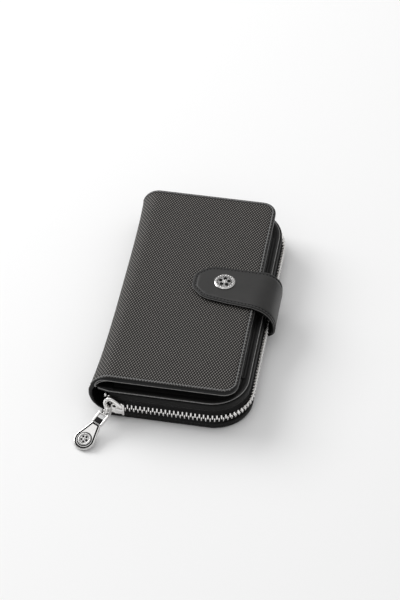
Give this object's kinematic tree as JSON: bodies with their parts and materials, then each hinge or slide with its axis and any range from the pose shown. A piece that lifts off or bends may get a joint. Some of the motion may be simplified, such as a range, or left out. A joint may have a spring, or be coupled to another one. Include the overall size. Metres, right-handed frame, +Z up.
{
  "type": "long wallet",
  "caption": "Long wallet: a zip-around compartment with a fold-over front cover, closed by a wrap-over strap with a press snap.",
  "frame": {"origin": "on the back cover's outer face, at the middle of the length", "axes": "+X from the spine towards the strap, +Y along the length away from the zip slider, +Z up through the thickness to the front cover"},
  "size_m": [0.1201, 0.2331, 0.0386],
  "materials": {
    "woven_leather": "fine diagonal woven emboss, semi-matt",
    "smooth_leather": "smooth grain, semi-matt",
    "lining_cloth": "plain woven lining",
    "zip_tape": "twill tape",
    "board": "matt stiffener board",
    "plated_metal": "polished nickel plate"
  },
  "bodies": {
    "back": {"back_cover": "woven_leather", "back_lining": "lining_cloth", "lower_gusset_band": "smooth_leather", "zip_tape_lower": "zip_tape", "zip_teeth_lower": "plated_metal", "zip_end_stops": "plated_metal", "strap_root": "smooth_leather", "end_gusset_front": "lining_cloth", "end_gusset_rear": "lining_cloth"},
    "zip_front": {"spine_wall": "woven_leather", "mid_panel": "smooth_leather", "mid_lining": "lining_cloth", "upper_gusset_band": "smooth_leather", "zip_tape_upper": "zip_tape", "zip_teeth_upper": "plated_metal", "panel_border": "smooth_leather", "mid_slip_pocket": "smooth_leather", "mid_card_slot_1": "smooth_leather", "mid_card_slot_2": "smooth_leather", "mid_card_slot_3": "smooth_leather"},
    "spine_fold": {"spine_fold": "woven_leather", "fold_lining_lower": "smooth_leather", "fold_lining_upper": "smooth_leather"},
    "cover": {"front_cover": "woven_leather", "cover_board": "board", "cover_lining": "smooth_leather", "cover_card_slot_1": "smooth_leather", "cover_card_slot_2": "smooth_leather", "cover_card_slot_3": "smooth_leather", "cover_card_slot_4": "smooth_leather", "snap_stud": "plated_metal", "snap_washer": "plated_metal"},
    "strap_side": {"strap_side_outer": "smooth_leather", "strap_side_lining": "smooth_leather"},
    "strap_tab": {"strap_tab_outer": "smooth_leather", "strap_tab_lining": "smooth_leather", "snap_cap": "plated_metal", "snap_socket": "plated_metal"},
    "slider": {"zip_slider": "plated_metal", "slider_pin": "plated_metal"},
    "link": {"pull_link": "plated_metal", "link_pin": "plated_metal"},
    "pull": {"zip_pull": "plated_metal", "pull_medallion": "plated_metal"},
    "coin_pocket": {"coin_pocket_shell": "lining_cloth", "coin_zip_tapes": "zip_tape", "coin_zip_teeth": "plated_metal"},
    "coin_slider": {"coin_zip_slider": "plated_metal"},
    "coin_pull": {"coin_zip_pull": "plated_metal"}
  },
  "joints": [
    {"name": "compartment_open", "type": "hinge", "parent": "back", "child": "zip_front", "pos_m": [-0.04714, 0, 0.00286], "axis": [0, -1, 0], "range_deg": [0, 25], "deforming": ["zip_tape_lower", "zip_teeth_lower", "end_gusset_front", "end_gusset_rear", "zip_tape_upper", "zip_teeth_upper"]},
    {"name": "spine_fold_turn", "type": "hinge", "parent": "zip_front", "child": "spine_fold", "pos_m": [-0.0491, 0, 0.0215], "axis": [0, -1, 0], "range_deg": [0, 80], "deforming": ["fold_lining_lower"]},
    {"name": "cover_fold", "type": "hinge", "parent": "spine_fold", "child": "cover", "pos_m": [-0.04714, 0, 0.03114], "axis": [0, -1, 0], "range_deg": [0, 80], "deforming": ["fold_lining_upper"]},
    {"name": "strap_side_fold", "type": "hinge", "parent": "back", "child": "strap_side", "pos_m": [0.05839, 0, 0.00781], "axis": [0, 1, 0], "range_deg": [0, 90], "deforming": ["strap_root", "strap_side_outer", "strap_side_lining"]},
    {"name": "strap_tab_fold", "type": "hinge", "parent": "strap_side", "child": "strap_tab", "pos_m": [0.05613, 0, 0.03213], "axis": [0, 1, 0], "range_deg": [0, 90], "deforming": ["strap_tab_outer", "strap_tab_lining", "snap_cap", "snap_socket"]},
    {"name": "slider_travel", "type": "slide", "parent": "back", "child": "slider", "axis": [1, 0, 0], "range_m": [0, 0.056]},
    {"name": "link_swing", "type": "hinge", "parent": "slider", "child": "link", "pos_m": [-0.0393, -0.1032, 0.0108], "axis": [0, 0, 1], "range_deg": [-30, 80]},
    {"name": "pull_swing", "type": "hinge", "parent": "link", "child": "pull", "pos_m": [-0.04188, -0.10806, 0.0108], "axis": [-0.8829, 0.4695, 0], "range_deg": [0, 100]},
    {"name": "coin_pocket_turn", "type": "hinge", "parent": "back", "child": "coin_pocket", "pos_m": [-0.04714, 0, 0.00286], "axis": [0, -1, 0], "range_deg": [0, 12.5]},
    {"name": "coin_slider_travel", "type": "slide", "parent": "coin_pocket", "child": "coin_slider", "axis": [0, 1, 0], "range_m": [0, 0.148]},
    {"name": "coin_pull_swing", "type": "hinge", "parent": "coin_slider", "child": "coin_pull", "pos_m": [0.0427, -0.0752, 0.0115], "axis": [0, 0, -1], "range_deg": [0, 30]}
  ],
  "couplings": [
    {"joint": "spine_fold_turn", "follows": "cover_fold", "ratio": 1},
    {"joint": "strap_tab_fold", "follows": "cover_fold", "ratio": 1.125},
    {"joint": "strap_side_fold", "follows": "compartment_open", "ratio": 3.6},
    {"joint": "coin_pocket_turn", "follows": "compartment_open", "ratio": 0.5}
  ]
}
